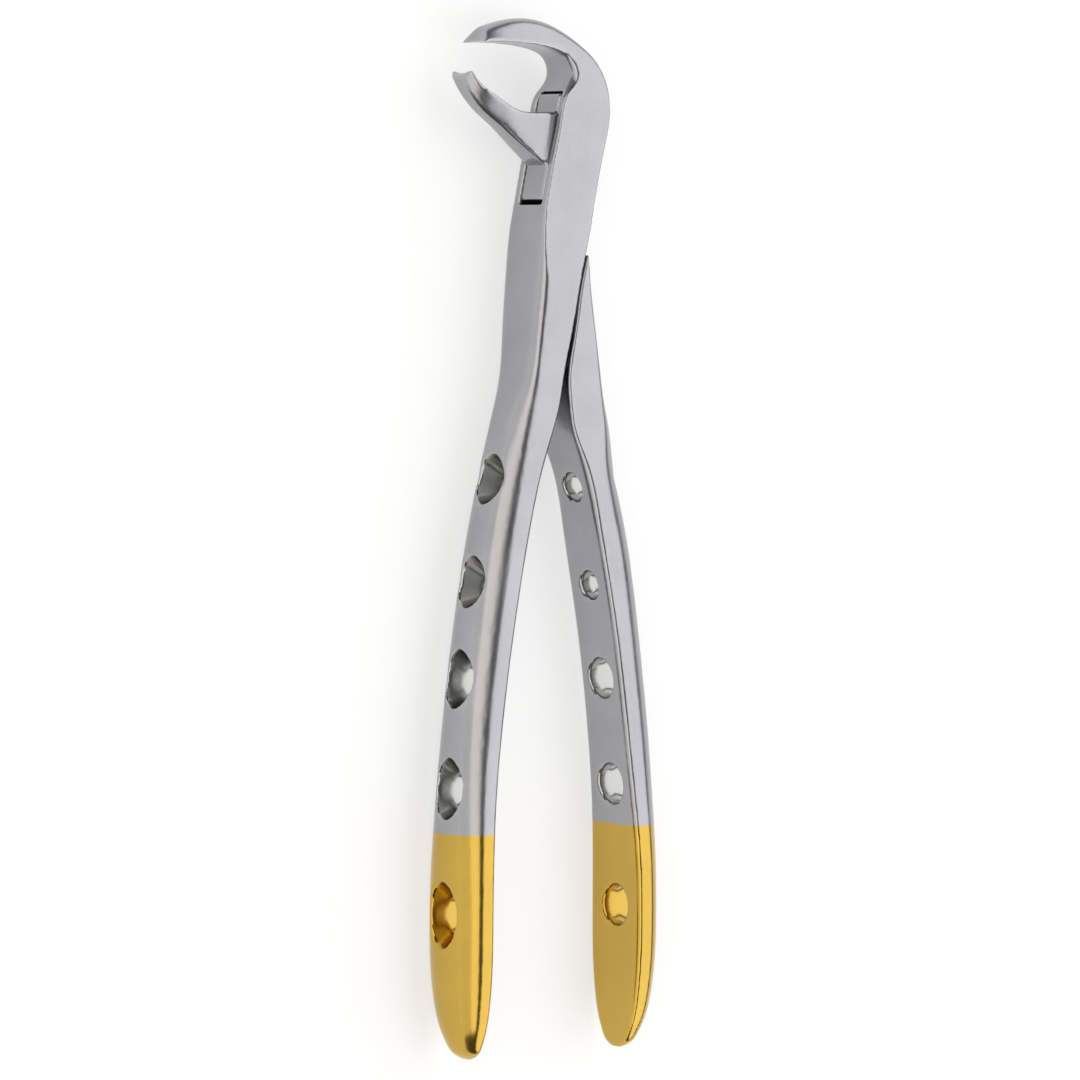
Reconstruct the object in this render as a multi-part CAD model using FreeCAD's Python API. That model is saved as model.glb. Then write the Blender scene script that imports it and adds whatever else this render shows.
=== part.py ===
"""Extraction forceps with a box joint, two D-section handles and hawk-bill beaks.

Three pieces: the half with the slotted joint, the upper beak and one handle; the half
with the tongue, the lower beak and the other handle; and the riveted pivot pin.

Frame: Z is the pivot axis and Z = 0 is the flat rear cheek, Y runs along the handles
towards the beaks, and X is to the right seen from the front. Everything is built about
the middle plane of the joint and lifted at the end. Lengths are in millimetres.
"""

import FreeCAD
import Part

import math
import os

from FreeCAD import Vector

# ---- overall sizes -----------------------------------------------------------
handle_length = 152.2          # pivot axis to the handle ends
handle_spread = 14.6           # centreline to the inner face where the handles are widest
handle_depth = 14.6            # front to rear at the swell of the grip
handle_lean_deg = 0.5          # lean of the centreline between the handles
centreline_x = -3.0            # centreline between the handles, level with the pivot

# ---- joint -------------------------------------------------------------------
joint_depth = 9.8              # over the two flat cheeks
joint_width = 10.2             # across the joint at the pivot
joint_lean = 0.211             # sideways step of the joint's left edge per mm up
tongue_depth = 6.4             # thickness of the tongue between the cheeks
side_clearance = 0.12          # tongue to cheek, each side
tongue_top_radius = 9.7        # round top of the tongue, about the pivot
top_clearance = 0.2            # tongue top to the shelf of the slot
tongue_foot_radius = 10.6      # round foot of the tongue, about the pivot
foot_clearance = 0.9           # tongue foot to the shoulder of the slot
tongue_inset = 0.15            # tongue faces behind the edges of the joint
shank_foot = (-3.6, -9.9)      # where the tongue narrows into its shank
shank_end = (-2.0, -37.5)      # where the shank reaches its own handle
shoulder_gap = 1.0             # groove between the cheek and the full-depth shoulder
closing_deg = 1.1              # turn from the rest pose until the shoulders nearly meet
slot_clearance = 0.35          # shank to the wall of the slot when closed

# ---- pivot -------------------------------------------------------------------
pin_radius = 2.5
pin_clearance = 0.04           # running fit of the tongue on the pin

# ---- handles -----------------------------------------------------------------
neck_drop = 46.8               # pivot axis to the top of the grips
outer_round = 1.9              # rounding of a handle's long edges beside the crown
inner_round = 1.3              # rounding of a handle's long edges beside the inner face
tip_length = 23.0              # length over which a handle end rounds off
tip_roundness = 2.45           # exponent of the rounded end, 2 is an ellipse
tip_bias = 0.3                 # the end closes this far out from the inner face
tip_steps = (0.35, 0.6, 0.78, 0.9, 0.965, 0.997)

# fraction of the grip's length, of the spread, edge strip, crown, half of the depth
handle_rows = (
    (0.782, 1.000, 3.0, 3.2, 1.000),
    (0.687, 0.985, 3.0, 3.3, 0.970),
    (0.591, 0.932, 3.2, 3.3, 0.890),
    (0.496, 0.856, 3.4, 3.4, 0.840),
    (0.307, 0.664, 3.7, 3.4, 0.815),
    (0.164, 0.466, 4.2, 3.1, 0.785),
    (0.050, 0.250, 5.2, 2.4, 0.755),
)

# ---- holes through the handles -------------------------------------------------
# fraction of the grip's length, bore radius, half height of the countersink
hole_rows = (
    (0.0958, 2.5, 4.4),
    (0.2533, 2.4, 4.45),
    (0.4032, 3.4, 4.95),
    (0.5740, 3.4, 5.25),
    (0.7694, 3.4, 5.7),
)
sink_half_width = 3.75         # half width of every countersink, front to rear
hole_land = 2.4                # straight part of each hole behind the inner face
hole_lip = 0.4                 # small flare at the inner face

# ---- necks, from the handle up -------------------------------------------------
# height, left edge, right edge, half of the depth, crown and rounding on the outer side
left_neck_rows = (
    (-42.5, -10.85, -4.35, 5.50, 1.1, 2.6),
    (-37.5, -10.20, -3.50, 5.60, 0.3, 2.9),
    (-30.0, -9.55, -2.00, 5.95, 0.1, 3.0),
    (-21.6, -8.80, -0.45, 6.15, 0.0, 2.6),
    (-13.4, -7.80, 2.00, 5.60, 0.0, 1.3),
    (-6.7, -6.55, 3.55, 5.10, 0.0, 0.5),
)
# height, right edge, half of the depth, crown and rounding on the outer side
right_neck_rows = (
    (-neck_drop, 5.35, 5.45, 1.7, 1.8),
    (-42.5, 4.90, 5.40, 0.9, 1.6),
    (-37.5, 4.40, 5.25, 0.2, 1.4),
    (-32.5, 3.85, 5.05, 0.0, 1.2),
    (-27.0, 3.10, 4.90, 0.0, 1.0),
    (-22.5, 2.55, 4.80, 0.0, 0.8),
    (-19.5, 2.25, 4.75, 0.0, 0.6),
    (-17.6, 2.15, 4.60, 0.0, 0.5),
)
joint_round = 0.5              # rounding of the joint's edges and of the groove's

# ---- beaks ---------------------------------------------------------------------
# inner edge, outer edge, half depths, hollow inside and crown outside, roundings
upper_beak_rows = (
    ((-4.0, 5.0), (6.10, 4.4), (5.05, 5.05), (0.00, 0.00), (0.5, 0.5)),
    ((-3.0, 9.0), (6.25, 7.4), (5.05, 5.05), (0.00, 0.00), (0.8, 0.6)),
    ((-1.6, 10.9), (6.00, 10.0), (4.95, 4.90), (0.00, 0.05), (1.3, 0.7)),
    ((-1.0, 12.6), (5.20, 12.7), (4.75, 4.55), (0.00, 0.10), (1.7, 0.8)),
    ((-1.3, 14.1), (3.80, 15.1), (4.55, 4.05), (0.00, 0.20), (1.7, 0.8)),
    ((-2.1, 15.4), (1.75, 17.1), (4.40, 3.50), (0.05, 0.30), (1.5, 0.8)),
    ((-3.6, 16.3), (-1.00, 19.0), (4.30, 2.95), (0.15, 0.40), (1.2, 0.8)),
    ((-5.9, 16.9), (-4.40, 20.6), (4.20, 2.40), (0.30, 0.45), (0.9, 0.8)),
    ((-9.4, 17.4), (-9.10, 21.4), (4.15, 2.00), (0.40, 0.40), (0.6, 0.8)),
    ((-13.0, 17.6), (-13.50, 20.9), (4.10, 1.80), (0.40, 0.35), (0.5, 0.7)),
    ((-16.4, 17.6), (-17.20, 19.95), (4.00, 1.70), (0.30, 0.25), (0.45, 0.6)),
    ((-19.6, 17.5), (-20.50, 19.0), (3.90, 1.60), (0.20, 0.15), (0.45, 0.5)),
    ((-22.6, 17.3), (-23.50, 18.2), (3.80, 1.50), (0.10, 0.05), (0.45, 0.45)),
)
lower_beak_rows = (
    ((-2.5, 6.0), (-3.00, -3.8), (3.15, 3.15), (0.00, 0.00), (0.3, 0.4)),
    ((-5.0, 6.2), (-6.20, -2.3), (3.20, 2.90), (0.00, 0.00), (0.4, 0.5)),
    ((-8.3, 6.2), (-8.60, -0.5), (3.30, 2.50), (0.00, 0.10), (0.5, 0.6)),
    ((-10.9, 6.5), (-11.15, 1.5), (3.40, 2.05), (0.05, 0.15), (0.5, 0.7)),
    ((-12.8, 7.3), (-14.10, 4.0), (3.50, 1.75), (0.15, 0.20), (0.5, 0.7)),
    ((-15.1, 8.7), (-17.10, 6.2), (3.50, 1.60), (0.25, 0.20), (0.5, 0.7)),
    ((-17.4, 10.1), (-19.30, 8.3), (3.45, 1.55), (0.25, 0.15), (0.45, 0.6)),
    ((-19.0, 11.4), (-20.75, 10.2), (3.35, 1.50), (0.20, 0.10), (0.45, 0.5)),
    ((-20.3, 13.0), (-21.80, 12.2), (3.25, 1.50), (0.10, 0.10), (0.4, 0.4)),
    ((-21.7, 15.4), (-23.05, 15.0), (3.20, 1.50), (0.05, 0.05), (0.4, 0.4)),
)
upper_tip = (-18.35, 18.1)     # middle of the upper beak's end
upper_tip_direction = (-0.9, 0.43)
upper_tip_half_width = 4.0     # half of the width of the upper beak at its end
lower_tip = (-20.75, 12.9)     # middle of the lower beak's end
lower_tip_direction = (-0.45, 0.89)
lower_tip_half_width = 3.35    # half of the width of the lower beak at its end
tip_corner = 0.9               # rounding of the two corners of each end
tip_dip = 0.35                 # how far the middle of each end lies back from its corners

# ---- cheeks, ground flat on the forging --------------------------------------------
grind_stock = 0.15             # ground off each cheek
grind_foot = -9.0              # where the flat of each cheek ends
grind_ramp_deg = 5.5           # slope of the neck below the flat

# ---- values that follow from the ones above --------------------------------------
half_joint = joint_depth / 2
half_tongue = tongue_depth / 2
half_width = joint_width / 2
blank_depth = half_joint + grind_stock
lean = math.tan(math.radians(handle_lean_deg))
far = 40.0                     # long enough to reach past the joint in any cut


def centre_x(y):
    """X of the centreline between the handles at height y."""
    return centreline_x + lean * y


def left_edge(y):
    """X of the left edge of the joint at height y."""
    return -half_width + joint_lean * y


def bezier(poles):
    """Edge along a Bezier curve with these poles."""
    curve = Part.BezierCurve()
    curve.setPoles(poles)
    return curve.toShape()


def section(left, right, depths, crowns, rounds):
    """Closed upright ring of edges, each given by its Bezier poles, with crowned faces.

    left and right are points of the plan. Half depths, crowns and edge roundings are
    pairs for the left and the right face, and a negative crown is a hollow.
    """
    depth_left, depth_right = depths
    crown_left, crown_right = crowns
    round_left, round_right = rounds
    across = Vector(right[0] - left[0], right[1] - left[1], 0)
    width = across.Length
    across.normalize()
    base = Vector(left[0], left[1], 0)

    def at(n, z):
        return base + across * n + Vector(0, 0, z)

    def face(n_edge, depth, crown, rounding, sign):
        """Start, two poles and end of a crowned face, from front to rear."""
        inset = min(rounding, 0.4 * width, 0.45 * depth)
        pole_n = n_edge + sign * crown * 4 / 3
        pole_z = depth * 0.45
        start_n = n_edge + (pole_n - n_edge) / (depth - pole_z) * inset
        start = (start_n, depth - inset)
        return start, (pole_n, pole_z), inset

    r_start, r_pole, r_inset = face(width, depth_right, crown_right, round_right, 1)
    l_start, l_pole, l_inset = face(0.0, depth_left, crown_left, round_left, -1)
    slant = (depth_right - depth_left) / width
    r_top = (width - r_inset, depth_right - slant * r_inset)
    l_top = (l_inset, depth_left + slant * l_inset)

    def mirrored(point):
        return at(point[0], -point[1])

    return [
        [at(*r_start), at(*r_pole), mirrored(r_pole), mirrored(r_start)],
        [mirrored(r_start), at(width, -depth_right), mirrored(r_top)],
        [mirrored(r_top), mirrored(l_top)],
        [mirrored(l_top), at(0, -depth_left), mirrored(l_start)],
        [mirrored(l_start), mirrored(l_pole), at(*l_pole), at(*l_start)],
        [at(*l_start), at(0, depth_left), at(*l_top)],
        [at(*l_top), at(*r_top)],
        [at(*r_top), at(width, depth_right), at(*r_start)],
    ]


def sided(side, inner_value, outer_value):
    """Pair for the left and the right face of a handle: side is -1 for the left handle."""
    return (outer_value, inner_value) if side < 0 else (inner_value, outer_value)


def grip_drop(fraction):
    """Distance below the pivot of a point this far down the grip."""
    return neck_drop + fraction * (handle_length - neck_drop)


def handle_sections(side):
    """Sections of one handle from its end up; side is -1 for the left one, +1 for the right."""
    rows = [(handle_rows[0], step) for step in reversed(tip_steps)]
    rows += [(row, 0.0) for row in handle_rows]
    tip_start = handle_length - tip_length
    rings = []
    for (along, spread, strip, crown, depth), step in rows:
        scale = (1 - step ** tip_roundness) ** (1 / tip_roundness)
        y = -grip_drop(along)
        if (along, spread) == handle_rows[0][:2]:
            y = -tip_start - step * tip_length
        gap = handle_spread * spread
        inner = gap + tip_bias * (1 - scale)
        outer = gap + tip_bias + (strip - tip_bias) * scale
        near = (centre_x(y) + side * inner, y)
        away = (centre_x(y) + side * outer, y)
        half_depth = handle_depth / 2 * depth * scale
        left, right = sided(side, near, away)
        crowns = sided(side, 0, crown * scale)
        rounds = sided(side, inner_round * scale, outer_round * scale)
        rings.append(section(left, right, (half_depth, half_depth), crowns, rounds))
    return rings


def neck_edge(y):
    """X of the right edge of the slotted half's neck at height y."""
    rows = [(row[0], row[2]) for row in left_neck_rows]
    for (y0, x0), (y1, x1) in zip(rows, rows[1:]):
        if y <= y1:
            break
    return x0 + (x1 - x0) * (y - y0) / (y1 - y0)


def mirrored_edge(y):
    """X of the neck's right edge at height y, mirrored in the centreline."""
    return 2 * centre_x(y) - neck_edge(y)


def middle_of(ring):
    """Mean of a section's poles."""
    poles = [pole for edge in ring for pole in edge]
    total = Vector(0, 0, 0)
    for pole in poles:
        total += pole
    return total / len(poles)


def strip_face(edges, stations):
    """Smooth face through one edge of every section."""
    columns = []
    for points in zip(*edges):
        column = Part.BSplineCurve()
        column.interpolate(Points=list(points), Parameters=stations)
        columns.append(column)
    across = len(columns)
    along = columns[0]
    surface = Part.BSplineSurface()
    surface.buildFromPolesMultsKnots(
        [column.getPoles() for column in columns],
        [across, across],
        along.getMultiplicities(),
        [0.0, 1.0],
        along.getKnots(),
        False,
        False,
        across - 1,
        along.Degree,
    )
    return surface.toShape()


def loft(rings):
    """Closed solid with smooth faces through the sections."""
    centres = [middle_of(ring) for ring in rings]
    stations = [0.0]
    for a, b in zip(centres, centres[1:]):
        stations.append(stations[-1] + (b - a).Length)
    faces = [strip_face(edges, stations) for edges in zip(*rings)]
    for ring in (rings[0], rings[-1]):
        faces.append(Part.Face(Part.Wire([bezier(poles) for poles in ring])))
    shell = Part.Shell(faces)
    shell.sewShape()
    solid = Part.Solid(shell)
    if solid.Volume < 0:
        solid.reverse()
    return solid


def slotted_blank():
    """Left handle, neck, joint and upper beak in one forging, before cutting."""
    rings = handle_sections(-1)
    for y, left, right, depth, crown, rounding in left_neck_rows:
        rounds = (rounding, joint_round)
        rings.append(section((left, y), (right, y), (depth, depth), (crown, 0), rounds))
    rounds = (joint_round, joint_round)
    depths = (blank_depth, blank_depth)
    rings.append(section((left_edge(0), 0), (half_width, 0), depths, (0, 0), rounds))
    for inner, outer, depths, (hollow, crown), rounds in upper_beak_rows:
        rings.append(section(inner, outer, depths, (-hollow, crown), rounds))
    return loft(rings)


def tongue_handle():
    """Right handle and its full-depth shoulder, which ends in a wedge beside the cheek."""
    rings = handle_sections(1)
    for y, right, depth, crown, rounding in right_neck_rows:
        left = mirrored_edge(y) if y < shank_end[1] else neck_edge(y) + shoulder_gap
        rounds = (joint_round, rounding)
        rings.append(section((left, y), (right, y), (depth, depth), (0, crown), rounds))
    return loft(rings)


def lower_beak():
    """Lower beak from its root inside the tongue."""
    rings = []
    for inner, outer, depths, (hollow, crown), rounds in lower_beak_rows:
        rings.append(section(outer, inner, depths[::-1], (crown, -hollow), rounds[::-1]))
    return loft(rings)


def on_circle(radius, angle_deg):
    """Point of a circle about the pivot."""
    angle = math.radians(angle_deg)
    return Vector(radius * math.cos(angle), radius * math.sin(angle), 0)


def edge_angle(radius, sign):
    """Angle where the tongue's left face meets a circle about the pivot."""
    low, high = (90.0, 150.0) if sign > 0 else (180.0, 250.0)
    for _ in range(40):
        middle = (low + high) / 2
        point = on_circle(radius, middle)
        outside = point.x < left_edge(point.y) + tongue_inset
        if outside == (sign > 0):
            high = middle
        else:
            low = middle
    return (low + high) / 2


def circle_arc(radius, start_deg, end_deg):
    """Edge along a circle about the pivot."""
    middle = (start_deg + end_deg) / 2
    points = [on_circle(radius, angle) for angle in (start_deg, middle, end_deg)]
    return Part.Arc(*points).toShape()


def plate(edges, half_thickness):
    """Flat plate of this outline, centred on the middle plane."""
    face = Part.Face(Part.Wire(edges))
    solid = face.extrude(Vector(0, 0, 2 * half_thickness))
    solid.translate(Vector(0, 0, -half_thickness))
    return solid


def polyline(*points):
    """Straight edges through the points."""
    return [Part.makeLine(a, b) for a, b in zip(points, points[1:])]


def tongue():
    """Tongue between the cheeks, with its shank down to the handle."""
    top = edge_angle(tongue_top_radius, 1)
    foot = edge_angle(tongue_foot_radius, -1)
    shank = Vector(shank_foot[0], shank_foot[1], 0)
    shank_angle = 360 + math.degrees(math.atan2(shank.y, shank.x))
    shank = on_circle(tongue_foot_radius, shank_angle)
    right_top = on_circle(tongue_top_radius, 52.5)
    right_side = [
        Vector(half_width - 0.3, 0, 0),
        Vector(3.5, -6.7, 0),
        Vector(2.75, -12.0, 0),
        Vector(2.35, -15.5, 0),
        Vector(2.1, -17.6, 0),
        Vector(2.05, -19.5, 0),
        Vector(2.3, -22.5, 0),
        Vector(2.8, -27.0, 0),
        Vector(3.6, -32.5, 0),
        Vector(4.1, shank_end[1], 0),
    ]
    edges = [circle_arc(tongue_top_radius, 52.5, top)]
    edges += polyline(on_circle(tongue_top_radius, top), on_circle(tongue_foot_radius, foot))
    edges += [circle_arc(tongue_foot_radius, foot, shank_angle)]
    shank_foot_right = Vector(shank_end[0] + 0.2, shank_end[1], 0)
    edges += polyline(shank, shank_foot_right, *reversed(right_side), right_top)
    return plate(edges, half_tongue)


def slot():
    """Room in the joint for the tongue and its shank over the whole travel."""
    top_radius = tongue_top_radius + top_clearance
    foot_radius = tongue_foot_radius + foot_clearance
    turn = FreeCAD.Rotation(Vector(0, 0, 1), -closing_deg)
    aside = Vector(-slot_clearance, 0, 0)
    head = turn.multVec(Vector(shank_foot[0], shank_foot[1], 0)) + aside
    end = turn.multVec(Vector(shank_end[0], shank_end[1] - 6, 0)) + aside
    head_y = -math.sqrt(foot_radius ** 2 - head.x ** 2)
    head_angle = 360 + math.degrees(math.atan2(head_y, head.x))
    edges = [circle_arc(top_radius, 25, 130)]
    edges += polyline(on_circle(top_radius, 130), on_circle(foot_radius, 212))
    edges += [circle_arc(foot_radius, 212, head_angle)]
    edges += polyline(
        on_circle(foot_radius, head_angle),
        end,
        Vector(far, end.y, 0),
        Vector(far, 0, 0),
        on_circle(top_radius, 25),
    )
    return plate(edges, half_tongue + side_clearance)


def handle_holes(side):
    """Grip holes of one handle, square to its inner face, with countersinks along the grip."""
    cuts = []
    for fraction, radius, sink_height in hole_rows:
        drop = grip_drop(fraction)
        y = -drop
        step = 3.0
        slope = (inner_face_x(side, y + step) - inner_face_x(side, y - step)) / (2 * step)
        outwards = Vector(side, -side * slope, 0)
        outwards.normalize()
        start = Vector(inner_face_x(side, y), y, 0)
        bore = Part.makeCylinder(radius, 30, start - outwards * 10, outwards)
        mouth = start - outwards * hole_lip
        lip = Part.makeCone(radius + 2 * hole_lip, radius, 2 * hole_lip, mouth, outwards)
        reach = strip_at(drop) + crown_at(drop)
        cuts += [bore, lip, countersink(start, outwards, radius, sink_height, reach)]
    return cuts


def countersink(start, outwards, radius, half_height, reach):
    """Flared outer part of a grip hole, longer along the handle than it is wide."""
    depth = reach - hole_land
    over = 4.0
    growth = (depth + over) / depth
    mouth = Part.Ellipse(
        Vector(0, 0, depth + over),
        radius + (half_height - radius) * growth,
        radius + (sink_half_width - radius) * growth,
    )
    wires = [Part.Wire(Part.makeCircle(radius)), Part.Wire(mouth.toShape())]
    sink = Part.makeLoft(wires, True, True)
    upright = Vector(0, 0, 1)
    turn = FreeCAD.Rotation(upright.cross(outwards), upright, outwards, "ZXY")
    sink.Placement = FreeCAD.Placement(start + outwards * hole_land, turn)
    return sink


def along_handle(drop, column):
    """One column of the handle rows, at this distance below the pivot."""
    rows = [(grip_drop(row[0]), row[column]) for row in handle_rows]
    rows.sort()
    for (d0, v0), (d1, v1) in zip(rows, rows[1:]):
        if drop <= d1:
            break
    return v0 + (v1 - v0) * (drop - d0) / (d1 - d0)


def inner_face_x(side, y):
    """X of a handle's inner face at height y."""
    return centre_x(y) + side * handle_spread * along_handle(-y, 1)


def strip_at(drop):
    """Width of a handle's side strip at this distance below the pivot."""
    return along_handle(drop, 2)


def crown_at(drop):
    """Height of a handle's crown at this distance below the pivot."""
    return along_handle(drop, 3)


def tip_cutter(tip, direction, tip_half_width):
    """Takes off a beak past its end: a shallow dip between two rounded corners."""
    along = Vector(direction[0], direction[1], 0)
    along.normalize()
    through = Vector(-along.y, along.x, 0)
    base = Vector(tip[0], tip[1], 0) - through * 8

    def at(a, z):
        return base + along * a + Vector(0, 0, z)

    flank = tip_half_width - tip_corner
    side = tip_half_width + 3
    bend = tip_corner * (1 - math.sqrt(0.5))
    edges = [Part.Arc(at(0, -flank), at(-tip_dip, 0), at(0, flank)).toShape()]
    for sign in (-1, 1):
        corner = Part.Arc(
            at(0, sign * flank),
            at(-bend, sign * (tip_half_width - bend)),
            at(-tip_corner, sign * tip_half_width),
        )
        edges.append(corner.toShape())
        outside = at(-tip_corner, sign * side)
        edges += polyline(at(-tip_corner, sign * tip_half_width), outside, at(12, sign * side))
    edges += polyline(at(12, -side), at(12, side))
    outline = Part.Wire(Part.__sortEdges__(edges))
    return Part.Face(outline).extrude(through * 16)


def cheek_planes():
    """Wedges that grind the two cheeks flat and slope the neck below them."""
    top = half_joint + 7
    rise = math.tan(math.radians(grind_ramp_deg))
    ramp_end = grind_foot - 20.0
    wedges = []
    for sign in (1, -1):
        points = [
            Vector(-20, top, sign * half_joint),
            Vector(-20, grind_foot, sign * half_joint),
            Vector(-20, ramp_end, sign * (half_joint + (grind_foot - ramp_end) * rise)),
            Vector(-20, ramp_end, sign * far),
            Vector(-20, top, sign * far),
        ]
        outline = Part.Wire(polyline(*points, points[0]))
        wedges.append(Part.Face(outline).extrude(Vector(40, 0, 0)))
    return wedges


def pivot_bore(radius):
    """Round bore on the pivot axis, through everything."""
    return Part.makeCylinder(radius, 2 * far, Vector(0, 0, -far), Vector(0, 0, 1))


def upper_half():
    """Slotted half: left handle, box joint and upper beak."""
    blank = slotted_blank()
    end = tip_cutter(upper_tip, upper_tip_direction, upper_tip_half_width)
    cuts = cheek_planes() + handle_holes(-1)
    return blank.cut(cuts + [slot(), pivot_bore(pin_radius), end])


def lower_half():
    """Tongued half: right handle, tongue and lower beak."""
    solid = tongue().fuse([tongue_handle(), lower_beak()])
    end = tip_cutter(lower_tip, lower_tip_direction, lower_tip_half_width)
    return solid.cut(handle_holes(1) + [pivot_bore(pin_radius + pin_clearance), end])


def pivot_pin():
    """Rivet, pressed into the cheeks and ground flush with them."""
    return Part.makeCylinder(pin_radius, joint_depth, Vector(0, 0, -half_joint), Vector(0, 0, 1))


def write_parts():
    """Lift each piece to its place and write its file."""
    os.makedirs("parts", exist_ok=True)
    pieces = {
        "upper_beak_half": upper_half(),
        "lower_beak_half": lower_half(),
        "pivot_pin": pivot_pin(),
    }
    for name, shape in pieces.items():
        shape.translate(Vector(0, 0, half_joint))
        box = shape.BoundBox
        print(name, shape.isValid(), len(shape.Solids), round(shape.Volume, 1), box)
        shape.exportStep("parts/" + name + ".step")


write_parts()
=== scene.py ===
"""Extraction forceps: finished surfaces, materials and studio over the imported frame.

Everything is in metres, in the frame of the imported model: Z is the pivot axis, Y runs
along the handles towards the beaks, and Z = 0 is the rear cheek of the joint.
"""

import math

import bmesh
import bpy
import numpy as np
from bpy.props import FloatProperty, FloatVectorProperty, IntProperty, PointerProperty
from mathutils import Matrix, Vector


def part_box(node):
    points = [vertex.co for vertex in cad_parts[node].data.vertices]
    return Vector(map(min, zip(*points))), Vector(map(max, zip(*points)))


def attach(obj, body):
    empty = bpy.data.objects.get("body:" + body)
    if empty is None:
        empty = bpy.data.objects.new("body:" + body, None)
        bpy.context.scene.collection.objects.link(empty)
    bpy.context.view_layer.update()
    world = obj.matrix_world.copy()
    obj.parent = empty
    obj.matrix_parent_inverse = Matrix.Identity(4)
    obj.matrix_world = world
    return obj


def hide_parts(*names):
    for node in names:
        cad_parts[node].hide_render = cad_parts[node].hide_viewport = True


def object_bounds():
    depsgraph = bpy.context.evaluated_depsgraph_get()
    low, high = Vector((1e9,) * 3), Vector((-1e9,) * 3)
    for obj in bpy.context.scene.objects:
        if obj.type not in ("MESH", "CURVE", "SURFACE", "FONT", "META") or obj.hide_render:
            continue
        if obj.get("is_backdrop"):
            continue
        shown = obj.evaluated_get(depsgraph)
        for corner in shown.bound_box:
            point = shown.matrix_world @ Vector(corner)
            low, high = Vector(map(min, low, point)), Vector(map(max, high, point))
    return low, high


bl_info = {
    "name": "Extraction forceps",
    "version": (1, 0, 0),
    "blender": (4, 5, 0),
    "location": "3D View > Sidebar > Forceps",
    "description": "Finishes, plating and studio for a pair of box-joint extraction forceps",
    "category": "Object",
}

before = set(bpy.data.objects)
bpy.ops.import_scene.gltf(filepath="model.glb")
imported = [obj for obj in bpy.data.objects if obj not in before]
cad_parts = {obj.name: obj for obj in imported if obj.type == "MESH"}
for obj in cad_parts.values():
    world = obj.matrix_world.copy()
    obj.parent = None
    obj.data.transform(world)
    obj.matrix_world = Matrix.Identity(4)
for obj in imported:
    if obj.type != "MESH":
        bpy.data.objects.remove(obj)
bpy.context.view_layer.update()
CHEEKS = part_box("pivot_pin")
MIDDLE_Z = (CHEEKS[0].z + CHEEKS[1].z) / 2

# ---- grip holes, from the joint down ---------------------------------------------------
# height, inner face from the centreline, its slope, bore radius, half height of the
# countersink, depth from the inner face to the outer one
GRIP_HOLES = (
    (-0.0569, 0.00492, 0.261, 0.0025, 0.0044, 0.0075),
    (-0.0735, 0.00861, 0.193, 0.0024, 0.00445, 0.0072),
    (-0.0893, 0.01112, 0.141, 0.0034, 0.00495, 0.0070),
    (-0.1073, 0.01341, 0.103, 0.0034, 0.00525, 0.0066),
    (-0.1279, 0.01457, 0.022, 0.0034, 0.0057, 0.0062),
)
SINK_HALF_WIDTH = 0.00375
HOLE_LAND = 0.0024
HOLE_LIP = 0.0004
HOLE_REACH_IN = 0.0006
HOLE_REACH_OUT = 0.002
# centreline between the handles: X level with the pivot, and its lean
CENTRELINE_X = -0.0030
CENTRELINE_LEAN = 0.0087

# ---- skin and wear ---------------------------------------------------------------------
WELD = 1e-7                    # distance at which the corners of loose triangles join
NOSE_BLEND = 0.002             # length over which the nose's extra rounding sets in
PIN_GROWTH = 1.04              # fills the pin's bore in the skin of the slotted half
PIN_SIDES = 96
WORN_ANGLES = (0.02, 0.22)     # edge angles where wear starts and is full, in radians
SCUFF_RANGE = (0.35, 0.6)      # noise that leaves an edge its dull and its full wear
DULL_WEAR = 0.45
NOISE_RANGE = (0.3, 0.7)       # where nearly all the noise lies
SPECKLE = 0.35                 # grain's share of the patches' contrast
PATCH_SCALE = 120.0
SCUFF_SCALE = 900.0


# ---- settings --------------------------------------------------------------------------


def length(name, description, default, **limits):
    """Length property in metres."""
    return FloatProperty(
        name=name, description=description, default=default,
        unit="LENGTH", subtype="DISTANCE", precision=5, **limits
    )


def share(name, description, default):
    """Property from 0 to 1."""
    return FloatProperty(
        name=name, description=description, default=default, min=0, max=1, subtype="FACTOR"
    )


def passes(name, description, default):
    """Number of smoothing passes."""
    return IntProperty(name=name, description=description, default=default, min=0, max=60)


def tone(name, description, default):
    """Linear colour property."""
    return FloatVectorProperty(
        name=name, description=description, default=default, size=3, min=0, max=1, subtype="COLOR"
    )


class ForgingSettings(bpy.types.PropertyGroup):
    """Sizes of the hand-finished surfaces."""

    cell: length("Surface cell", "Cell size of the finished surface", 0.00028, min=0.0001)
    softening: passes("Softening", "Passes that round off the edges", 8)
    most_triangles: IntProperty(
        name="Triangles", description="Most triangles in one half", default=195000, min=1000
    )
    plating_line: length("Plating line", "Height of the upper edge of the gold plating", -0.1140)
    bore_margin: length("Bore margin", "How far the polish of a hole reaches over its rim", 0.00012)
    pin_proud: length("Pin proud", "How far the pin's ends stand out of the cheeks", 0.00001)
    nose_start: length("Nose start", "Where the nose of the upper beak starts", -0.0150)
    rim_margin: length("Rim margin", "How far the extra rounding reaches round a hole", 0.0003)
    rim_softening: passes("Rim softening", "Passes that round off the nose and the holes", 12)
    edge_blur: passes("Edge blur", "Spread of the wear along the edges", 3)


class FinishSettings(bpy.types.PropertyGroup):
    """Colours and gloss of the finishes."""

    steel: tone("Steel", "Colour of the satin steel", (0.36, 0.36, 0.378))
    polished_steel: tone("Polished steel", "Colour of the polished bores", (0.43, 0.43, 0.42))
    gold: tone("Gold", "Colour of the gold plating", (0.54, 0.355, 0.068))
    steel_roughness: share("Steel roughness", "Roughness of the satin steel", 0.24)
    bore_roughness: share("Bore roughness", "Roughness of the polished bores", 0.2)
    gold_roughness: share("Gold roughness", "Roughness of the gold plating", 0.2)


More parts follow.
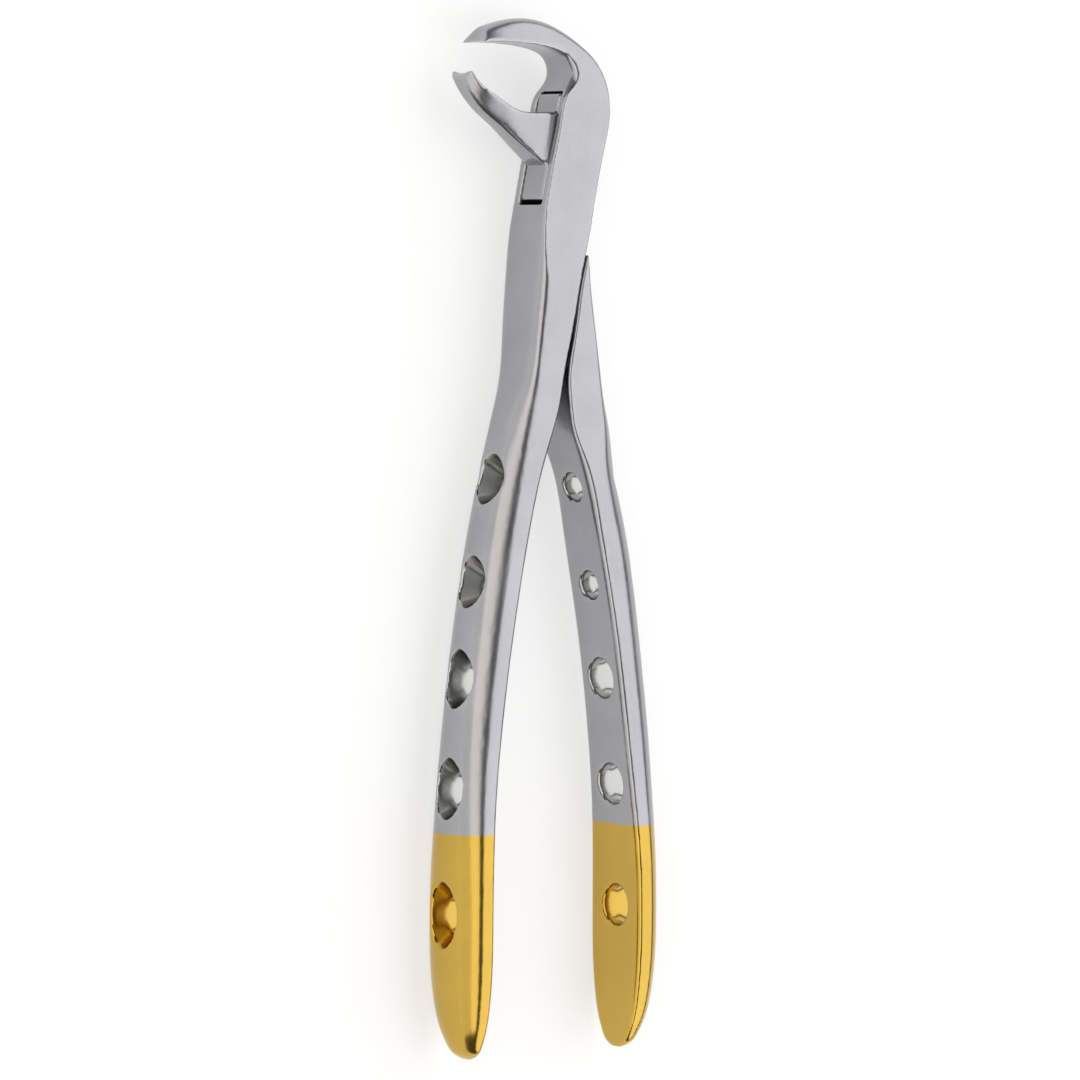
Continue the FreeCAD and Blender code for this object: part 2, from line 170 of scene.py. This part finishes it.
class StudioSettings(bpy.types.PropertyGroup):
    """Camera, softboxes and floor."""

    camera_turn: FloatProperty(
        name="Camera turn", description="Turn to the left of the pivot axis",
        default=math.radians(34.5), subtype="ANGLE",
    )
    camera_rise: FloatProperty(
        name="Camera rise", description="Tilt of the view towards the beaks",
        default=math.radians(2.7), subtype="ANGLE",
    )
    camera_distance: length("Camera distance", "From the aim to the camera", 1.1, min=0.2)
    camera_aim: FloatVectorProperty(
        name="Camera aim", description="Point at the middle of the picture",
        default=(-0.0048, -0.0655, 0.0048), size=3, subtype="TRANSLATION", unit="LENGTH",
    )
    picture_width: length("Picture width", "Width of the picture at the aim", 0.1815, min=0.01)
    floor_gap: length("Floor gap", "Gap between the floor and the lowest point", 0.00002)
    floor_tone: tone("Floor tone", "Colour of the floor", (0.38, 0.38, 0.38))
    floor_glow: share("Floor glow", "Light that the pale floor gives of its own", 0.6)
    surround: share("Surround", "Brightness of the room, as the metal mirrors it", 0.06)
    backdrop: share("Backdrop", "Brightness of the plain backdrop behind the floor", 0.95)


# ---- mesh work -------------------------------------------------------------------------


def plain_copy(node_names, name, grow=None):
    """One mesh object from copies of CAD nodes, with their loose triangles joined."""
    bm = bmesh.new()
    for node_name in node_names:
        start = len(bm.verts)
        bm.from_mesh(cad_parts[node_name].data)
        bm.verts.ensure_lookup_table()
        if grow and node_name in grow:
            for vertex in bm.verts[start:]:
                vertex.co.x *= grow[node_name]
                vertex.co.y *= grow[node_name]
    bmesh.ops.remove_doubles(bm, verts=bm.verts, dist=WELD)
    mesh = bpy.data.meshes.new(name)
    bm.to_mesh(mesh)
    bm.free()
    mesh.attributes.active_color_name = ""
    obj = bpy.data.objects.new(name, mesh)
    bpy.context.scene.collection.objects.link(obj)
    return obj


def bake_modifiers(obj):
    """Replaces an object's mesh by its evaluated one, and clears the modifiers."""
    depsgraph = bpy.context.evaluated_depsgraph_get()
    mesh = bpy.data.meshes.new_from_object(obj.evaluated_get(depsgraph), depsgraph=depsgraph)
    old = obj.data
    obj.modifiers.clear()
    obj.data = mesh
    mesh.name = obj.name
    bpy.data.meshes.remove(old)


def mark_rims(obj, side, settings):
    """Vertex group of the grip holes with their rims, and of the nose of the upper beak."""
    points = np.zeros(len(obj.data.vertices) * 3)
    obj.data.vertices.foreach_get("co", points)
    points = points.reshape(-1, 3)
    weight = in_a_hole(points, side, settings.rim_margin).astype(float)
    if side < 0:
        nose = np.clip((settings.nose_start - points[:, 0]) / NOSE_BLEND, 0, 1)
        weight = np.maximum(weight, np.where(points[:, 1] > 0, nose, 0))
    group = obj.vertex_groups.new(name="rims")
    for index in np.flatnonzero(weight):
        group.add([int(index)], float(weight[index]), "REPLACE")


def smooth_modifier(obj, passes, group=""):
    """Smoothing of the whole piece, or of one vertex group."""
    smooth = obj.modifiers.new("soften", "SMOOTH")
    smooth.factor = 0.5
    smooth.iterations = passes
    smooth.vertex_group = group


def soften(obj, settings, side):
    """Even, closed skin over the forging, with its edges rounded off by hand finishing."""
    remesh = obj.modifiers.new("skin", "REMESH")
    remesh.mode = "VOXEL"
    remesh.voxel_size = settings.cell
    remesh.use_smooth_shade = True
    bake_modifiers(obj)
    smooth_modifier(obj, settings.softening)
    mark_rims(obj, side, settings)
    smooth_modifier(obj, settings.rim_softening, "rims")
    bake_modifiers(obj)
    obj.vertex_groups.clear()
    obj.data.calc_loop_triangles()
    triangles = len(obj.data.loop_triangles)
    if triangles > settings.most_triangles:
        thin = obj.modifiers.new("thin", "DECIMATE")
        thin.ratio = settings.most_triangles / triangles
        bake_modifiers(obj)


def cut_at_height(obj, height):
    """Edge loop right round the piece at this height, so that a finish can end cleanly there."""
    bm = bmesh.new()
    bm.from_mesh(obj.data)
    bmesh.ops.bisect_plane(
        bm, geom=bm.verts[:] + bm.edges[:] + bm.faces[:], dist=1e-6,
        plane_co=(0, height, 0), plane_no=(0, 1, 0),
    )
    bm.to_mesh(obj.data)
    bm.free()


def in_a_hole(points, side, margin):
    """True for each point on or just round the wall of a grip hole."""
    inside = np.zeros(len(points), bool)
    for height, offset, slope, bore, sink_height, depth in GRIP_HOLES:
        centre_x = CENTRELINE_X + CENTRELINE_LEAN * height
        start = np.array((centre_x + side * offset, height, MIDDLE_Z))
        outwards = np.array((side, slope - side * CENTRELINE_LEAN, 0.0))
        outwards /= np.linalg.norm(outwards)
        along = np.array((-outwards[1], outwards[0], 0.0))
        away = points - start
        reach = away @ outwards
        flare = np.clip((reach - HOLE_LAND) / (depth - HOLE_LAND), 0, 1.5)
        lip = np.clip(HOLE_LIP - reach, 0, HOLE_LIP)
        tall = bore + lip + (sink_height - bore) * flare + margin
        wide = bore + lip + (SINK_HALF_WIDTH - bore) * flare + margin
        ring = ((away @ along) / tall) ** 2 + (away[:, 2] / wide) ** 2
        inside |= (ring < 1) & (reach > -HOLE_REACH_IN) & (reach < depth + HOLE_REACH_OUT)
    return inside


def mark_bores(obj, side, margin):
    """Face attribute that is true on the walls of the grip holes."""
    mesh = obj.data
    centres = np.zeros(len(mesh.polygons) * 3)
    mesh.polygons.foreach_get("center", centres)
    mask = in_a_hole(centres.reshape(-1, 3), side, margin)
    attribute = mesh.attributes.new("bore", "BOOLEAN", "FACE")
    attribute.data.foreach_set("value", mask)


# ---- finishing tree --------------------------------------------------------------------


def tree_socket(tree, name, kind, description, default=None):
    """Named input of a node tree."""
    socket = tree.interface.new_socket(name=name, in_out="INPUT", socket_type=kind)
    socket.description = description
    if default is not None:
        socket.default_value = default
    return socket


def finish_tree():
    """Geometry nodes that mark worn edges and lay the four finishes on a half."""
    tree = bpy.data.node_groups.get("forging_finish")
    if tree:
        return tree
    tree = bpy.data.node_groups.new("forging_finish", "GeometryNodeTree")
    tree.interface.new_socket(name="Geometry", in_out="INPUT", socket_type="NodeSocketGeometry")
    tree_socket(tree, "Plating line", "NodeSocketFloat", "Upper edge of the plating", -0.114)
    tree_socket(tree, "Edge blur", "NodeSocketInt", "Spread of the wear along the edges", 3)
    for name in ("Steel", "Polished steel", "Gold", "Polished gold"):
        tree_socket(tree, name, "NodeSocketMaterial", name + " finish")
    tree.interface.new_socket(name="Geometry", in_out="OUTPUT", socket_type="NodeSocketGeometry")
    nodes, links = tree.nodes, tree.links
    given = nodes.new("NodeGroupInput")
    result = nodes.new("NodeGroupOutput")

    angle = nodes.new("GeometryNodeInputMeshEdgeAngle")
    spread = nodes.new("GeometryNodeBlurAttribute")
    spread.data_type = "FLOAT"
    links.new(angle.outputs["Signed Angle"], spread.inputs["Value"])
    links.new(given.outputs["Edge blur"], spread.inputs["Iterations"])
    worn = nodes.new("ShaderNodeMapRange")
    worn.inputs["From Min"].default_value, worn.inputs["From Max"].default_value = WORN_ANGLES
    links.new(spread.outputs["Value"], worn.inputs["Value"])
    store = nodes.new("GeometryNodeStoreNamedAttribute")
    store.data_type = "FLOAT"
    store.domain = "POINT"
    store.inputs["Name"].default_value = "edge_wear"
    links.new(given.outputs["Geometry"], store.inputs["Geometry"])
    links.new(worn.outputs["Result"], store.inputs["Value"])

    position = nodes.new("GeometryNodeInputPosition")
    parts = nodes.new("ShaderNodeSeparateXYZ")
    plated = nodes.new("FunctionNodeCompare")
    plated.data_type = "FLOAT"
    plated.operation = "LESS_THAN"
    links.new(position.outputs["Position"], parts.inputs["Vector"])
    links.new(parts.outputs["Y"], plated.inputs["A"])
    links.new(given.outputs["Plating line"], plated.inputs["B"])
    bore = nodes.new("GeometryNodeInputNamedAttribute")
    bore.data_type = "BOOLEAN"
    bore.inputs["Name"].default_value = "bore"
    both = nodes.new("FunctionNodeBooleanMath")
    both.operation = "AND"
    links.new(plated.outputs["Result"], both.inputs[0])
    links.new(bore.outputs["Attribute"], both.inputs[1])

    realize = nodes.new("GeometryNodeRealizeInstances")
    links.new(store.outputs["Geometry"], realize.inputs["Geometry"])
    last = realize.outputs["Geometry"]
    choices = (
        ("Steel", None),
        ("Polished steel", bore.outputs["Attribute"]),
        ("Gold", plated.outputs["Result"]),
        ("Polished gold", both.outputs["Boolean"]),
    )
    for name, chosen in choices:
        lay = nodes.new("GeometryNodeSetMaterial")
        links.new(last, lay.inputs["Geometry"])
        links.new(given.outputs[name], lay.inputs["Material"])
        if chosen:
            links.new(chosen, lay.inputs["Selection"])
        last = lay.outputs["Geometry"]
    links.new(last, result.inputs["Geometry"])
    return tree


def lay_finishes(obj, settings, materials):
    """Runs the finishing tree on a half and keeps its result as plain mesh."""
    tree = finish_tree()
    modifier = obj.modifiers.new("finish", "NODES")
    modifier.node_group = tree
    values = {"Plating line": settings.plating_line, "Edge blur": settings.edge_blur}
    values.update(materials)
    for item in tree.interface.items_tree:
        if item.item_type == "SOCKET" and item.in_out == "INPUT" and item.name in values:
            modifier[item.identifier] = values[item.name]
    bake_modifiers(obj)
    obj.data.attributes.remove(obj.data.attributes["bore"])


# ---- materials -------------------------------------------------------------------------


def blasted_grain():
    """Shader group: fine blasted grain with soft patches and worn edges."""
    group = bpy.data.node_groups.get("blasted_grain")
    if group:
        return group
    group = bpy.data.node_groups.new("blasted_grain", "ShaderNodeTree")
    face = group.interface
    for name, kind, default in (
        ("Colour", "NodeSocketColor", (0.5, 0.5, 0.5, 1)),
        ("Worn colour", "NodeSocketColor", (0.7, 0.7, 0.7, 1)),
        ("Roughness", "NodeSocketFloat", 0.3),
        ("Worn roughness", "NodeSocketFloat", 0.2),
        ("Patches", "NodeSocketFloat", 0.06),
        ("Grain size", "NodeSocketFloat", 2500.0),
    ):
        face.new_socket(name=name, in_out="INPUT", socket_type=kind).default_value = default
    face.new_socket(name="Colour", in_out="OUTPUT", socket_type="NodeSocketColor")
    face.new_socket(name="Roughness", in_out="OUTPUT", socket_type="NodeSocketFloat")
    face.new_socket(name="Height", in_out="OUTPUT", socket_type="NodeSocketFloat")
    nodes, links = group.nodes, group.links
    given = nodes.new("NodeGroupInput")
    result = nodes.new("NodeGroupOutput")
    place = nodes.new("ShaderNodeTexCoord")

    def noise(scale, detail):
        node = nodes.new("ShaderNodeTexNoise")
        node.inputs["Detail"].default_value = detail
        if scale:
            node.inputs["Scale"].default_value = scale
        links.new(place.outputs["Object"], node.inputs["Vector"])
        return node

    def mapped(source, low, high, to_low, to_high):
        node = nodes.new("ShaderNodeMapRange")
        node.inputs["From Min"].default_value = low
        node.inputs["From Max"].default_value = high
        node.inputs["To Min"].default_value = to_low
        node.inputs["To Max"].default_value = to_high
        links.new(source, node.inputs["Value"])
        return node.outputs["Result"]

    def joined(operation, a, b):
        node = nodes.new("ShaderNodeMath")
        node.operation = operation
        for socket, value in zip(node.inputs, (a, b)):
            if isinstance(value, float):
                socket.default_value = value
            else:
                links.new(value, socket)
        return node.outputs["Value"]

    patches = noise(PATCH_SCALE, 3.0)
    grain = noise(None, 2.0)
    links.new(given.outputs["Grain size"], grain.inputs["Scale"])
    scuffs = noise(SCUFF_SCALE, 4.0)
    wear = nodes.new("ShaderNodeAttribute")
    wear.attribute_name = "edge_wear"
    kept = mapped(scuffs.outputs["Fac"], *SCUFF_RANGE, DULL_WEAR, 1.0)
    worn = joined("MULTIPLY", wear.outputs["Fac"], kept)

    patch = mapped(patches.outputs["Fac"], *NOISE_RANGE, -1.0, 1.0)
    patch = joined("MULTIPLY", patch, given.outputs["Patches"])
    speckle = mapped(grain.outputs["Fac"], *NOISE_RANGE, -SPECKLE, SPECKLE)
    speckle = joined("MULTIPLY", speckle, given.outputs["Patches"])
    level = joined("ADD", joined("ADD", patch, speckle), 1.0)
    shade = nodes.new("ShaderNodeVectorMath")
    shade.operation = "SCALE"
    links.new(given.outputs["Colour"], shade.inputs[0])
    links.new(level, shade.inputs["Scale"])
    blend = nodes.new("ShaderNodeMix")
    blend.data_type = "RGBA"
    links.new(worn, blend.inputs["Factor"])
    links.new(shade.outputs["Vector"], blend.inputs["A"])
    links.new(given.outputs["Worn colour"], blend.inputs["B"])
    links.new(blend.outputs["Result"], result.inputs["Colour"])

    uneven = joined("ADD", joined("MULTIPLY", patch, 2.0), 1.0)
    rough = joined("MULTIPLY", given.outputs["Roughness"], uneven)
    soften_edge = nodes.new("ShaderNodeMix")
    soften_edge.data_type = "FLOAT"
    links.new(worn, soften_edge.inputs["Factor"])
    links.new(rough, soften_edge.inputs["A"])
    links.new(given.outputs["Worn roughness"], soften_edge.inputs["B"])
    links.new(soften_edge.outputs["Result"], result.inputs["Roughness"])
    links.new(grain.outputs["Fac"], result.inputs["Height"])
    return group


def lighter(colour, factor):
    """The same hue, lighter."""
    return tuple(min(1.0, channel * factor) for channel in colour)


def metal(name, colour, worn, roughness, worn_roughness, patches, grain_size, relief):
    """Metal finish with blasted grain; worn is how much lighter its edges are, and relief is
    the height of the grain in metres."""
    material = bpy.data.materials.get(name)
    if material:
        return material
    material = bpy.data.materials.new(name)
    material.use_nodes = True
    nodes, links = material.node_tree.nodes, material.node_tree.links
    shader = nodes["Principled BSDF"]
    shader.inputs["Metallic"].default_value = 1.0
    grain = nodes.new("ShaderNodeGroup")
    grain.node_tree = blasted_grain()
    grain.inputs["Colour"].default_value = (*colour, 1)
    grain.inputs["Worn colour"].default_value = (*lighter(colour, worn), 1)
    grain.inputs["Roughness"].default_value = roughness
    grain.inputs["Worn roughness"].default_value = worn_roughness
    grain.inputs["Patches"].default_value = patches
    grain.inputs["Grain size"].default_value = grain_size
    bump = nodes.new("ShaderNodeBump")
    bump.inputs["Distance"].default_value = relief
    bump.inputs["Strength"].default_value = 1.0
    links.new(grain.outputs["Colour"], shader.inputs["Base Color"])
    links.new(grain.outputs["Roughness"], shader.inputs["Roughness"])
    links.new(grain.outputs["Height"], bump.inputs["Height"])
    links.new(bump.outputs["Normal"], shader.inputs["Normal"])
    material.diffuse_color = (*colour, 1)
    return material


def finishes(settings):
    """The four finishes of the instrument, by name."""
    steel, gold = settings.steel, settings.gold
    bore, bore_roughness = settings.polished_steel, settings.bore_roughness
    rows = {
        "Steel": ("satin_steel", steel, 1.12, settings.steel_roughness, 0.2, 0.05, 2600.0, 4e-7),
        "Polished steel": ("polished_steel", bore, 1.05, bore_roughness, 0.08, 0.03, 900.0, 2e-6),
        "Gold": ("gold_plating", gold, 1.1, settings.gold_roughness, 0.14, 0.04, 2600.0, 3e-7),
        "Polished gold": ("polished_gold", gold, 1.05, bore_roughness, 0.08, 0.03, 900.0, 2e-6),
    }
    return {name: metal(*row) for name, row in rows.items()}


# ---- pieces ----------------------------------------------------------------------------


def finished_half(context, name, node_names, side, grow=None):
    """Finished skin of one half, from its CAD nodes."""
    forging = context.scene.forceps_forging
    obj = plain_copy(node_names, name, grow)
    soften(obj, forging, side)
    cut_at_height(obj, forging.plating_line)
    mark_bores(obj, side, forging.bore_margin)
    lay_finishes(obj, forging, finishes(context.scene.forceps_finish))
    obj.data.shade_smooth()
    if not len(obj.data.polygons):
        raise RuntimeError(name + " came out empty")
    return obj


class FORCEPS_OT_slotted_half(bpy.types.Operator):
    """Left handle, slotted joint and upper beak, with their finishes"""

    bl_idname = "forceps.slotted_half"
    bl_label = "Slotted half"

    def execute(self, context):
        nodes = ("upper_beak_half", "pivot_pin")
        obj = finished_half(context, "slotted_half_skin", nodes, -1, {"pivot_pin": PIN_GROWTH})
        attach(obj, "slotted_half")
        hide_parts("upper_beak_half")
        return {"FINISHED"}


class FORCEPS_OT_tongued_half(bpy.types.Operator):
    """Right handle, tongue and lower beak, with their finishes"""

    bl_idname = "forceps.tongued_half"
    bl_label = "Tongued half"

    def execute(self, context):
        obj = finished_half(context, "tongued_half_skin", ("lower_beak_half",), 1)
        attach(obj, "tongued_half")
        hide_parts("lower_beak_half")
        return {"FINISHED"}


class FORCEPS_OT_pivot_pin(bpy.types.Operator):
    """Riveted pin, its ends dressed flush with the cheeks"""

    bl_idname = "forceps.pivot_pin"
    bl_label = "Pivot pin"

    def execute(self, context):
        proud = context.scene.forceps_forging.pin_proud
        low, high = CHEEKS
        radius = (high.x - low.x) / 2
        bm = bmesh.new()
        bmesh.ops.create_cone(
            bm, cap_ends=True, segments=PIN_SIDES, radius1=radius, radius2=radius,
            depth=high.z - low.z + 2 * proud, matrix=Matrix.Translation((0, 0, MIDDLE_Z)),
        )
        bmesh.ops.recalc_face_normals(bm, faces=bm.faces)
        mesh = bpy.data.meshes.new("pivot_pin_dressed")
        bm.to_mesh(mesh)
        bm.free()
        mesh.attributes.new("edge_wear", "FLOAT", "POINT")
        mesh.materials.append(finishes(context.scene.forceps_finish)["Steel"])
        obj = bpy.data.objects.new("pivot_pin_dressed", mesh)
        context.scene.collection.objects.link(obj)
        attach(obj, "slotted_half")
        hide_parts("pivot_pin")
        return {"FINISHED"}


# ---- studio ----------------------------------------------------------------------------


# name, angle up from the left horizon over the top, distance, width, length, brightness, tint
SOFTBOXES = (
    ("overhead_softbox", 128.5, 0.62, 0.99, 2.8, 1.55, (1.0, 1.0, 1.0)),
    ("shoulder_softbox", 53.5, 0.62, 0.31, 1.5, 1.6, (1.0, 0.96, 0.90)),
    ("left_softbox", 18.5, 0.62, 0.49, 1.5, 1.0, (1.0, 0.98, 0.95)),
)


def softbox(aim, name, angle, distance, width, length_y, brightness, tint):
    """Rectangular light in the plane across the handles, turned to the instrument."""
    angle = math.radians(angle)
    away = Vector((-math.cos(angle), 0, math.sin(angle)))
    light = bpy.data.lights.new(name, "AREA")
    light.shape = "RECTANGLE"
    light.size = width
    light.size_y = length_y
    light.energy = brightness * math.pi * width * length_y
    light.color = tint
    obj = bpy.data.objects.new(name, light)
    side = Vector((0, 1, 0))
    turn = Matrix((side.cross(away), side, away)).transposed()
    obj.matrix_world = Matrix.Translation(aim + away * distance) @ turn.to_4x4()
    obj.visible_camera = False
    bpy.context.scene.collection.objects.link(obj)
    return obj


def room(studio):
    """Dim room for the metal to mirror, with a pale backdrop where the camera sees it."""
    world = bpy.data.worlds.new("room")
    world.use_nodes = True
    nodes, links = world.node_tree.nodes, world.node_tree.links
    dim = nodes["Background"]
    dim.inputs["Color"].default_value = (1, 1, 1, 1)
    dim.inputs["Strength"].default_value = studio.surround
    pale = nodes.new("ShaderNodeBackground")
    pale.inputs["Color"].default_value = (1, 1, 1, 1)
    pale.inputs["Strength"].default_value = studio.backdrop
    ray = nodes.new("ShaderNodeLightPath")
    choice = nodes.new("ShaderNodeMixShader")
    links.new(ray.outputs["Is Camera Ray"], choice.inputs["Fac"])
    links.new(dim.outputs["Background"], choice.inputs[1])
    links.new(pale.outputs["Background"], choice.inputs[2])
    links.new(choice.outputs["Shader"], nodes["World Output"].inputs["Surface"])
    return world


class FORCEPS_OT_studio(bpy.types.Operator):
    """Pale floor, soft light and the camera"""

    bl_idname = "forceps.studio"
    bl_label = "Studio"

    def execute(self, context):
        studio = context.scene.forceps_studio
        scene = context.scene
        aim = Vector(studio.camera_aim)
        turn, rise = studio.camera_turn, studio.camera_rise
        back = Vector((-math.sin(turn), math.tan(rise), math.cos(turn))) * math.cos(rise)
        right = Vector((math.cos(turn), 0, math.sin(turn)))
        up = back.cross(right)
        camera = bpy.data.cameras.new("camera")
        camera.sensor_width = 36
        camera.lens = camera.sensor_width * studio.camera_distance / studio.picture_width
        camera.clip_start = 0.01
        camera.clip_end = 100
        viewer = bpy.data.objects.new("camera", camera)
        axes = Matrix((right, up, back)).transposed()
        place = Matrix.Translation(aim + back * studio.camera_distance)
        viewer.matrix_world = place @ axes.to_4x4()
        scene.collection.objects.link(viewer)
        scene.camera = viewer

        for row in SOFTBOXES:
            softbox(aim, *row)

        scene.world = room(studio)

        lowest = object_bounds()[0].z - studio.floor_gap
        bm = bmesh.new()
        bmesh.ops.create_grid(bm, x_segments=1, y_segments=1, size=4.0)
        bmesh.ops.translate(bm, verts=bm.verts, vec=(0, 0, lowest))
        mesh = bpy.data.meshes.new("floor")
        bm.to_mesh(mesh)
        bm.free()
        pale = bpy.data.materials.new("pale_floor")
        pale.use_nodes = True
        shader = pale.node_tree.nodes["Principled BSDF"]
        shader.inputs["Base Color"].default_value = (*studio.floor_tone, 1)
        shader.inputs["Roughness"].default_value = 0.9
        shader.inputs["Specular IOR Level"].default_value = 0.1
        shader.inputs["Emission Color"].default_value = (1, 1, 1, 1)
        shader.inputs["Emission Strength"].default_value = studio.floor_glow
        mesh.materials.append(pale)
        floor = bpy.data.objects.new("floor", mesh)
        scene.collection.objects.link(floor)
        floor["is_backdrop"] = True
        scene.view_settings.view_transform = "Standard"
        scene.view_settings.look = "None"
        return {"FINISHED"}


class FORCEPS_PT_sidebar(bpy.types.Panel):
    """Lists the pieces of the forceps and the studio"""

    bl_label = "Extraction forceps"
    bl_idname = "FORCEPS_PT_sidebar"
    bl_space_type = "VIEW_3D"
    bl_region_type = "UI"
    bl_category = "Forceps"

    def draw(self, context):
        layout = self.layout
        scene = context.scene
        for group in (scene.forceps_forging, scene.forceps_finish, scene.forceps_studio):
            box = layout.box()
            for name in group.__annotations__:
                box.prop(group, name)
        for operator in OPERATORS:
            layout.operator(operator.bl_idname)


SETTINGS = (ForgingSettings, FinishSettings, StudioSettings)
OPERATORS = (
    FORCEPS_OT_slotted_half, FORCEPS_OT_tongued_half, FORCEPS_OT_pivot_pin, FORCEPS_OT_studio,
)
CLASSES = SETTINGS + OPERATORS + (FORCEPS_PT_sidebar,)


def register():
    for cls in CLASSES:
        bpy.utils.register_class(cls)
    bpy.types.Scene.forceps_forging = PointerProperty(type=ForgingSettings)
    bpy.types.Scene.forceps_finish = PointerProperty(type=FinishSettings)
    bpy.types.Scene.forceps_studio = PointerProperty(type=StudioSettings)


def unregister():
    del bpy.types.Scene.forceps_studio
    del bpy.types.Scene.forceps_finish
    del bpy.types.Scene.forceps_forging
    for cls in reversed(CLASSES):
        bpy.utils.unregister_class(cls)


def main():
    """Makes every piece and the studio."""
    register()
    bpy.ops.forceps.slotted_half()
    bpy.ops.forceps.tongued_half()
    bpy.ops.forceps.pivot_pin()
    bpy.ops.forceps.studio()


if __name__ == "__main__":
    main()
